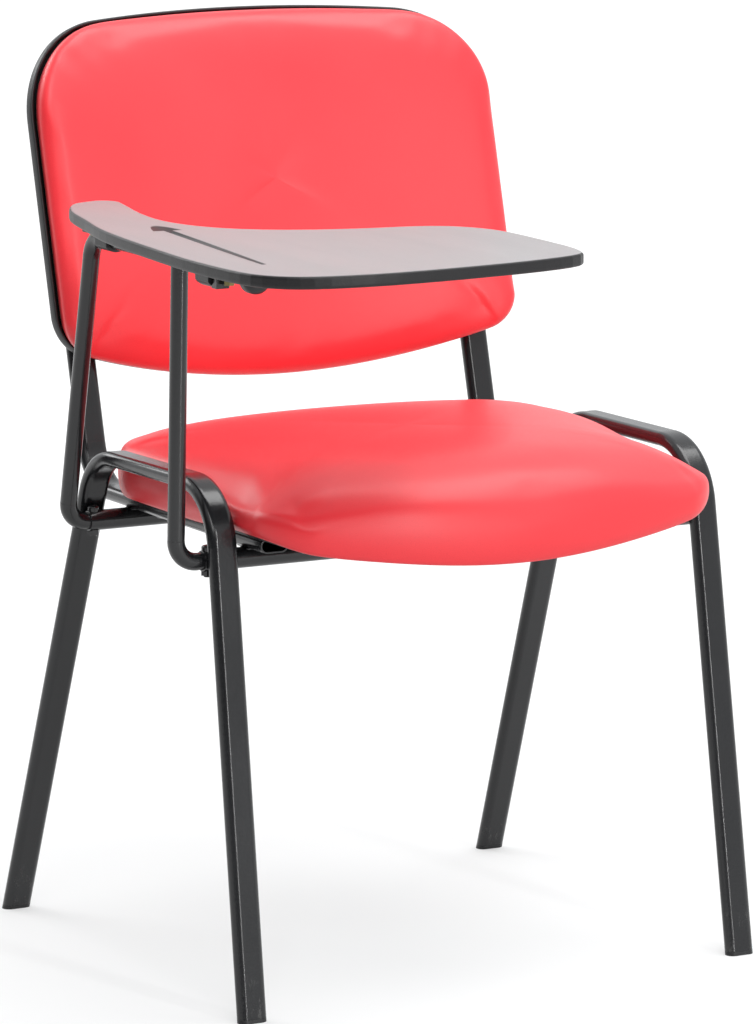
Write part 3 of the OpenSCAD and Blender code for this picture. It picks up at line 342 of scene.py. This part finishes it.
# Each panel: width, length, first and last corner radius, first and last edge bow
SEAT_W, SEAT_D, SEAT_R1, SEAT_R2, SEAT_B1, SEAT_B2 = 443, 403, 54, 69, 658, 641
BACK_W, BACK_H, BACK_R1, BACK_R2, BACK_B1, BACK_B2 = 461, 338, 34, 88, 816, 1250
# The seat's front edge falls away on this radius, from this place forwards
FALL_R, FALL_Y = 115, SEAT_Y + 73
# Heights of the seat's middle, its edge and its low front corners, and how far a corner reaches
SEAT_CROWN, SEAT_SIDE, SEAT_PINCH, PINCH_REACH = 56, 40, 19, 155
# The back: heights of its middle and edge, the tuck of its lower edge, its board's curve and its slope
BACK_CROWN, BACK_SIDE, BACK_TUCK, BACK_CURVE, RECLINE = 45, 31, 6, 900, math.radians(15)
# Where the curved board touches the tubes behind it, across the back
TUBE_INSET, TUBE_WIDTH, TOUCH_SHARE = 19.5, 26.5, 0.3
CURVE_SET = math.sqrt(BACK_CURVE ** 2 - (SEAT_W / 2 - TUBE_INSET - TUBE_WIDTH * TOUCH_SHARE) ** 2)
# The board ahead of the tube's axis, its lower edge over the tube's bend, and the bend behind the rail
BACK_LIFT, BACK_RISE, BACK_BEHIND = 6.6, 88, 83
# How finely the outlines and sections are drawn, and the crown's rings from the edge to the middle
PANEL_STEPS, CURVE_STEPS = 26, 3
CROWN_SHARES = (0.95, 0.9, 0.83, 0.76, 0.67, 0.58, 0.47, 0.36, 0.26, 0.16, 0.08, 0.02)
SEAT_PLAN = (SEAT_W, SEAT_D, SEAT_R1, SEAT_R2, SEAT_B1, SEAT_B2)
BACK_PLAN = (BACK_W, BACK_H, BACK_R1, BACK_R2, BACK_B1, BACK_B2)


def arc(c, r, start, end, n):
    """Points on an arc, without its last one."""
    a = np.linspace(start, end, n, endpoint=False)
    return np.stack([c[0] + r * np.cos(a), c[1] + r * np.sin(a)], 1)


def panel(plan, inset, tuck=0):
    """Outline of a seat or back panel, as the CAD source draws it."""
    w, h, r1, r2, b1, b2 = plan
    n = PANEL_STEPS
    h = h - tuck
    x1 = w / 2 - r1
    y1 = b1 - math.sqrt((b1 - r1) ** 2 - x1 ** 2)
    a1 = math.atan2(y1 - b1, x1)
    x2 = w / 2 - r2
    y2 = h - b2 + math.sqrt((b2 - r2) ** 2 - x2 ** 2)
    a2 = math.atan2(y2 - h + b2, x2)
    t = np.linspace(0, 1, n, endpoint=False)
    half = np.concatenate([
        arc((0, b1), b1 - inset, -math.pi / 2, a1, n),
        arc((x1, y1), r1 - inset, a1, 0, n),
        np.stack([np.full(n, w / 2 - inset), y1 + (y2 - y1) * t], 1),
        arc((x2, y2), r2 - inset, 0, a2, n),
        arc((0, h - b2), b2 - inset, a2, math.pi / 2, n)])
    mirrored = half[1:][::-1] * [-1, 1]
    return np.concatenate([half, [[0, h - inset]], mirrored]) + [0, tuck]


def smoothstep(t):
    """From nothing at 0 to one at 1, level at both ends."""
    t = np.clip(t, 0, 1)
    return t * t * (3 - 2 * t)


def through(rings, steps):
    """More rings on a smooth curve through the given ones."""
    found = []
    last = len(rings) - 1
    for i in range(last):
        a, b, c, d = rings[max(i - 1, 0)], rings[i], rings[i + 1], rings[min(i + 2, last)]
        for k in range(steps):
            t = k / steps
            found.append(0.5 * (2 * b + (c - a) * t + (2 * a - 5 * b + 4 * c - d) * t ** 2
                                + (3 * b - a - 3 * c + d) * t ** 3))
    found.append(rings[last])
    return found


def ring_skin(name, rings, slot):
    """A closed mesh over rings, with a middle point at both ends."""
    n = len(rings[0])
    points = np.concatenate(rings + [rings[0].mean(0)[None], rings[-1].mean(0)[None]])
    faces = []
    for j in range(len(rings) - 1):
        for i in range(n):
            a, b = j * n + i, j * n + (i + 1) % n
            faces.append((a, b, b + n, a + n))
    low, high = len(points) - 2, len(points) - 1
    top = (len(rings) - 1) * n
    for i in range(n):
        faces.append((low, (i + 1) % n, i))
        faces.append((high, top + i, top + (i + 1) % n))
    return mesh_object(name, points * MM, faces, slot)


def seat_ring(plan, heights):
    """Points of an outline at heights over the seat's board, with the front falling away."""
    y = plan[:, 1]
    ahead = np.clip(FALL_Y - y, 0, 100)
    drop = FALL_R + heights - np.sqrt((FALL_R + heights) ** 2 - ahead ** 2)
    return np.stack([plan[:, 0], y, SEAT_Z + heights - drop], 1)


def seat_side(plan):
    """How high the seat's edge stands, lower towards its two front corners."""
    d = np.hypot(np.abs(plan[:, 0]) - SEAT_W / 2 + SEAT_R1 / 4, plan[:, 1] - SEAT_Y - SEAT_R1 * 1.8)
    return SEAT_PINCH + (SEAT_SIDE - SEAT_PINCH) * smoothstep(d / PINCH_REACH)


def seat_form(name):
    """The seat pad: drawn-in skirt, rounded roll, low front corners and a full crown."""
    def plan(inset):
        return panel(SEAT_PLAN, inset) + [0, SEAT_Y]
    middle = np.array([0, SEAT_Y + SEAT_D * 0.52])
    under = plan(16)
    base = np.full(len(under), 0.5)
    rings = [seat_ring(middle + (under - middle) * k, base) for k in (0.15, 0.4, 0.65, 0.85, 1)]
    outer = []
    for inset, low in ((12, -1.5), (8, -6.8), (2, -8.2)):
        p = plan(inset)
        hang = 0.45 + 0.55 * smoothstep((seat_side(p) - SEAT_PINCH) / (SEAT_SIDE - SEAT_PINCH) * 1.6)
        outer.append(seat_ring(p, low * hang))
    for inset, share in ((-1.9, 0.1), (-2.4, 0.35), (-2.2, 0.62), (1.2, 0.88), (8, 1)):
        p = plan(inset)
        outer.append(seat_ring(p, np.maximum(0.5, seat_side(p) * share)))
    shoulder = plan(8)
    for k in CROWN_SHARES:
        p = middle + (shoulder - middle) * k
        side = seat_side(p)
        outer.append(seat_ring(p, side + (SEAT_CROWN - side) * (1 - k ** 4.5)))
    return ring_skin(name, rings + through(outer, CURVE_STEPS), "red_vinyl")


def to_back(p):
    """From the back's own frame, X across, Y up the back and Z forward, to the chair's."""
    y, z = -p[:, 2] - BACK_LIFT, p[:, 1] + BACK_RISE
    c, s = math.cos(RECLINE), math.sin(RECLINE)
    return np.stack([p[:, 0], rear_rail.y + BACK_BEHIND + y * c + z * s, TUBE_Z - y * s + z * c], 1)


def back_ring(plan, heights):
    """Points of an outline at heights over the curved board of the back."""
    bow = CURVE_SET - np.sqrt((BACK_CURVE - heights) ** 2 - plan[:, 0] ** 2)
    return to_back(np.stack([plan[:, 0], plan[:, 1], bow], 1))


def back_form(name):
    """The back pad: it follows the curved board and its lower roll hangs over the shell."""
    def plan(inset, tuck=0):
        return panel(BACK_PLAN, inset, tuck)
    middle = np.array([0, BACK_H * 0.52])
    under = plan(2.5, BACK_TUCK)
    base = np.full(len(under), 0.5)
    rings = [back_ring(middle + (under - middle) * k, base) for k in (0.15, 0.35, 0.55, 0.75, 0.9)]
    outer = []
    for inset, share, tuck in ((2.5, 0.02, 6), (2, 0.3, 1), (-0.8, 0.62, -3), (1.5, 0.86, -1.5), (7, 1, 0)):
        p = plan(inset, tuck)
        outer.append(back_ring(p, np.full(len(p), BACK_SIDE * share)))
    shoulder = plan(7)
    for k in CROWN_SHARES:
        p = middle + (shoulder - middle) * k
        height = BACK_SIDE + (BACK_CROWN - BACK_SIDE) * (1 - k ** 2.4)
        outer.append(back_ring(p, np.full(len(p), height)))
    return ring_skin(name, rings + through(outer, CURVE_STEPS), "red_vinyl")


# The covers: how far a point may move, in metres, the frames that are simulated and the cache's end
CAP, LAST_FRAME, CACHE_END = 0.003, 14, 24


def coordinates(mesh):
    """The places of a mesh's points, one row each."""
    co = np.zeros(len(mesh.vertices) * 3, np.float32)
    mesh.vertices.foreach_get("co", co)
    return co.reshape(-1, 3)


def activate(obj):
    """Makes an object the active one and the only one selected."""
    for other in bpy.context.selected_objects:
        other.select_set(False)
    obj.select_set(True)
    bpy.context.view_layer.objects.active = obj


def stuff(pad, rear, pressure):
    """Blows up the cover of a pad that is held along its rear, and caps how far each point moves."""
    activate(pad)
    start = coordinates(pad.data)
    normals = np.array([v.normal for v in pad.data.vertices])
    group = pad.vertex_groups.new(name="held")
    facing = np.round(smoothstep((normals @ np.array(rear) - 0.1) / 0.5), 1)
    for weight in np.unique(facing):
        if weight > 0:
            group.add([int(i) for i in np.nonzero(facing == weight)[0]], float(weight), "REPLACE")
    cloth = pad.modifiers.new("cover", "CLOTH")
    settings = cloth.settings
    settings.quality = 6
    settings.mass = 0.35
    settings.tension_stiffness = settings.compression_stiffness = 22
    settings.shear_stiffness = 8
    settings.bending_stiffness = 2
    settings.use_pressure = True
    settings.uniform_pressure_force = pressure
    settings.vertex_group_mass = "held"
    settings.effector_weights.gravity = 0
    cloth.point_cache.frame_start, cloth.point_cache.frame_end = 1, CACHE_END
    scene = bpy.context.scene
    for number in range(1, LAST_FRAME + 1):
        scene.frame_set(number)
    bpy.ops.object.modifier_apply(modifier=cloth.name)
    scene.frame_set(1)
    moved = coordinates(pad.data) - start
    far = np.linalg.norm(moved, axis=1, keepdims=True)
    print("cover moved", pad.name, "mean %.1f mm, most %.1f mm" % (far.mean() / MM, far.max() / MM))
    capped = start + moved * CAP * np.tanh(far / CAP) / np.maximum(far, 1e-9)
    pad.data.vertices.foreach_set("co", capped.ravel())
    pad.data.update()


def relax(pad, rounds):
    """Evens out small steps in the cover."""
    activate(pad)
    smooth = pad.modifiers.new("relax", "SMOOTH")
    smooth.factor, smooth.iterations = 0.5, rounds
    bpy.ops.object.modifier_apply(modifier=smooth.name)


def finish_pad(pad):
    """Drops the helper weights and makes the cover finer and smooth."""
    pad.vertex_groups.clear()
    sub = pad.modifiers.new("finer", "SUBSURF")
    sub.levels = sub.render_levels = 1
    for polygon in pad.data.polygons:
        polygon.use_smooth = True


seat_pad = seat_form("seat_pad")
stuff(seat_pad, (0, 0, -1), 2.5)
relax(seat_pad, 10)
finish_pad(seat_pad)
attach(seat_pad, "chair")
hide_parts("seat_cushion")

back_pad = back_form("back_pad")
stuff(back_pad, (0, math.cos(RECLINE), -math.sin(RECLINE)), 3.0)
relax(back_pad, 12)
finish_pad(back_pad)
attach(back_pad, "chair")
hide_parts("back_cushion")


def shell_trim(name):
    """The shell's rounded outer edge, finer than its solid and a hair outside it."""
    def ring(out, height):
        p = panel(BACK_PLAN, -out, BACK_TUCK)
        return back_ring(p, np.full(len(p), height))
    out, wall, turn, rim, lie, hair = 4, 2.5, 5, 10, 1.1, 0.2
    section = [(out - turn * (1 - math.sin(a)) + hair, turn * (1 - math.cos(a)) - lie - wall)
               for a in np.linspace(0.35, math.pi / 2, 7)]
    section += [(out + hair, rim - 0.9), (out - 0.25, rim - 0.1), (out - 0.9, rim + hair),
                (out - wall + 0.6, rim + hair), (out - wall - hair, rim - 0.8), (out - wall - hair, rim - 4),
                (out - wall / 2, rim - 6), (out - wall / 2 - 1.2, 0)]
    rings = [ring(a, b) for a, b in section]
    n = len(rings[0])
    faces = []
    for j in range(len(rings)):
        k = (j + 1) % len(rings)
        for i in range(n):
            m = (i + 1) % n
            faces.append((j * n + i, j * n + m, k * n + m, k * n + i))
    return mesh_object(name, np.concatenate(rings) * MM, faces, "black_plastic")


trim = shell_trim("back_shell_trim")
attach(trim, "chair")


# Weld beads where the rails meet the legs and the seat tubes, in millimetres
LEG_BEAD, TUBE_BEAD, LEG_INNER, LEG_OUTER, TUBE_HALF = 1.7, 1.4, 229, 249, 9


def bead(name, start, end, radius, seed):
    """A rippled weld bead between two points, in millimetres, with thin ends."""
    start, end = np.array(start, float), np.array(end, float)
    n, sides = 22, 10
    random = np.random.RandomState(seed)
    ahead = (end - start) / np.linalg.norm(end - start)
    one = np.cross(ahead, (0, 0, 1))
    two = np.cross(ahead, one)
    points, faces = [], []
    for i in range(n):
        share = i / (n - 1)
        r = radius * (0.35 + 0.65 * min(1, 6 * share, 6 * (1 - share)))
        r *= 1 + 0.16 * math.sin(i * 2.1) + random.uniform(-0.08, 0.08)
        for k in range(sides):
            a = 2 * math.pi * k / sides
            points.append((start + (end - start) * share + r * (math.cos(a) * one + math.sin(a) * two)) * MM)
    for i in range(n - 1):
        for k in range(sides):
            a, b = i * sides + k, i * sides + (k + 1) % sides
            faces.append((a, b, b + sides, a + sides))
    faces.append(tuple(range(sides))[::-1])
    faces.append(tuple((n - 1) * sides + k for k in range(sides)))
    obj = mesh_object(name, points, faces, "black_paint")
    sub = obj.modifiers.new("finer", "SUBSURF")
    sub.levels = sub.render_levels = 1
    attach(obj, "chair")


def weld_rails():
    """Two beads where each rail lies against a leg, and two where a seat tube lies on each rail."""
    leg_seed, tube_seed = 5, 9
    reach, slope = 9.7, math.radians(35)
    across, along = reach * math.cos(slope), reach * math.sin(slope)
    for rail, place, leg_side in (("front", front_rail, -1), ("rear", rear_rail, 1)):
        for side, word in ((-1, "right"), (1, "left")):
            y = place.y + leg_side * across
            for up, over in ((1, "over"), (-1, "under")):
                z = place.z + up * along
                bead("weld_%s_leg_%s_%s" % (rail, word, over), (side * LEG_INNER, y, z),
                     (side * LEG_OUTER, y, z), LEG_BEAD, leg_seed + side)
            low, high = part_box("seat_tube_" + word)
            mid = (low.x + high.x) / 2 / MM
            for step, over in ((-1, "ahead"), (1, "behind")):
                y, z = place.y + step * along, place.z + across
                bead("weld_%s_tube_%s_%s" % (rail, word, over), (mid - TUBE_HALF, y, z),
                     (mid + TUBE_HALF, y, z), TUBE_BEAD, tube_seed + step)


weld_rails()


# Floor, world and lamps
def make_floor():
    """A pale matt floor that reads as white away from the chair and keeps its shadow."""
    half = 60
    corners = [(-half, -half, 0), (half, -half, 0), (half, half, 0), (-half, half, 0)]
    floor_mesh = bpy.data.meshes.new("floor")
    floor_mesh.from_pydata(corners, [], [(0, 1, 2, 3)])
    s = Shader("pale_floor")
    tone = s.mix(s.ramp(s.noise(1.2, 4, 0.5), 0.3, 0.7), (0.43, 0.43, 0.43), (0.45, 0.45, 0.45))
    far = s.node("ShaderNodeVectorMath", operation="LENGTH")
    s.link(s.place, far.inputs[0])
    glow = s.ramp(far.outputs["Value"], 0.7, 3.0, 0.46, 0.72)
    s.use(Base_Color=tone, Roughness=0.9, Specular_IOR_Level=0.0, Emission_Color=(1, 1, 1),
          Emission_Strength=s.math("MULTIPLY", s.seen_directly(), glow))
    floor_mesh.materials.append(s.material)
    floor = bpy.data.objects.new("floor", floor_mesh)
    bpy.context.scene.collection.objects.link(floor)


def make_world():
    """A bright studio with a dark side at the front left."""
    world = bpy.data.worlds.new("studio")
    bpy.context.scene.world = world
    world.use_nodes = True
    tree = world.node_tree
    shade = tree.nodes["Background"]
    shade.inputs["Color"].default_value = (0.97, 0.985, 1, 1)
    where = tree.nodes.new("ShaderNodeTexCoord").outputs["Generated"]

    def toward(direction, low, high, to_low, to_high):
        along = tree.nodes.new("ShaderNodeVectorMath")
        along.operation = "DOT_PRODUCT"
        along.inputs[1].default_value = direction
        tree.links.new(where, along.inputs[0])
        ramp = tree.nodes.new("ShaderNodeMapRange")
        ramp.interpolation_type = "SMOOTHSTEP"
        for key, value in zip(RAMP_SOCKETS, (low, high, to_low, to_high)):
            ramp.inputs[key].default_value = value
        tree.links.new(along.outputs["Value"], ramp.inputs["Value"])
        return ramp.outputs["Result"]

    larger = tree.nodes.new("ShaderNodeMath")
    larger.operation = "MAXIMUM"
    tree.links.new(toward((-0.8, -0.6, 0), 0.02, 0.5, 0.98, 0.07), larger.inputs[0])
    tree.links.new(toward((0, 0, 1), 0.3, 0.75, 0.0, 0.98), larger.inputs[1])
    tree.links.new(larger.outputs["Value"], shade.inputs["Strength"])


def lamp(name, place, aim, size, power):
    """A soft rectangular lamp that points at a place."""
    data = bpy.data.lights.new(name, "AREA")
    data.shape = "RECTANGLE"
    data.size, data.size_y = size
    data.energy = power
    obj = bpy.data.objects.new(name, data)
    obj.location = place
    obj.rotation_euler = (Vector(aim) - Vector(place)).to_track_quat("-Z", "Y").to_euler()
    bpy.context.scene.collection.objects.link(obj)


make_floor()
make_world()
lamp("key", (-1.2, -3.0, 3.6), (0, 0, 0.5), (2.2, 2.2), 70)
lamp("top", (0.9, -0.3, 3.4), (0, 0, 0.45), (1.8, 1.8), 55)
lamp("strip", (0.75, -4.2, 1.3), (0, 0, 0.5), (0.2, 2.6), 60)
lamp("back", (-1.6, 3.2, 2.6), (0, 0, 0.5), (2.4, 1.6), 50)

bpy.context.scene.view_settings.view_transform = "Standard"
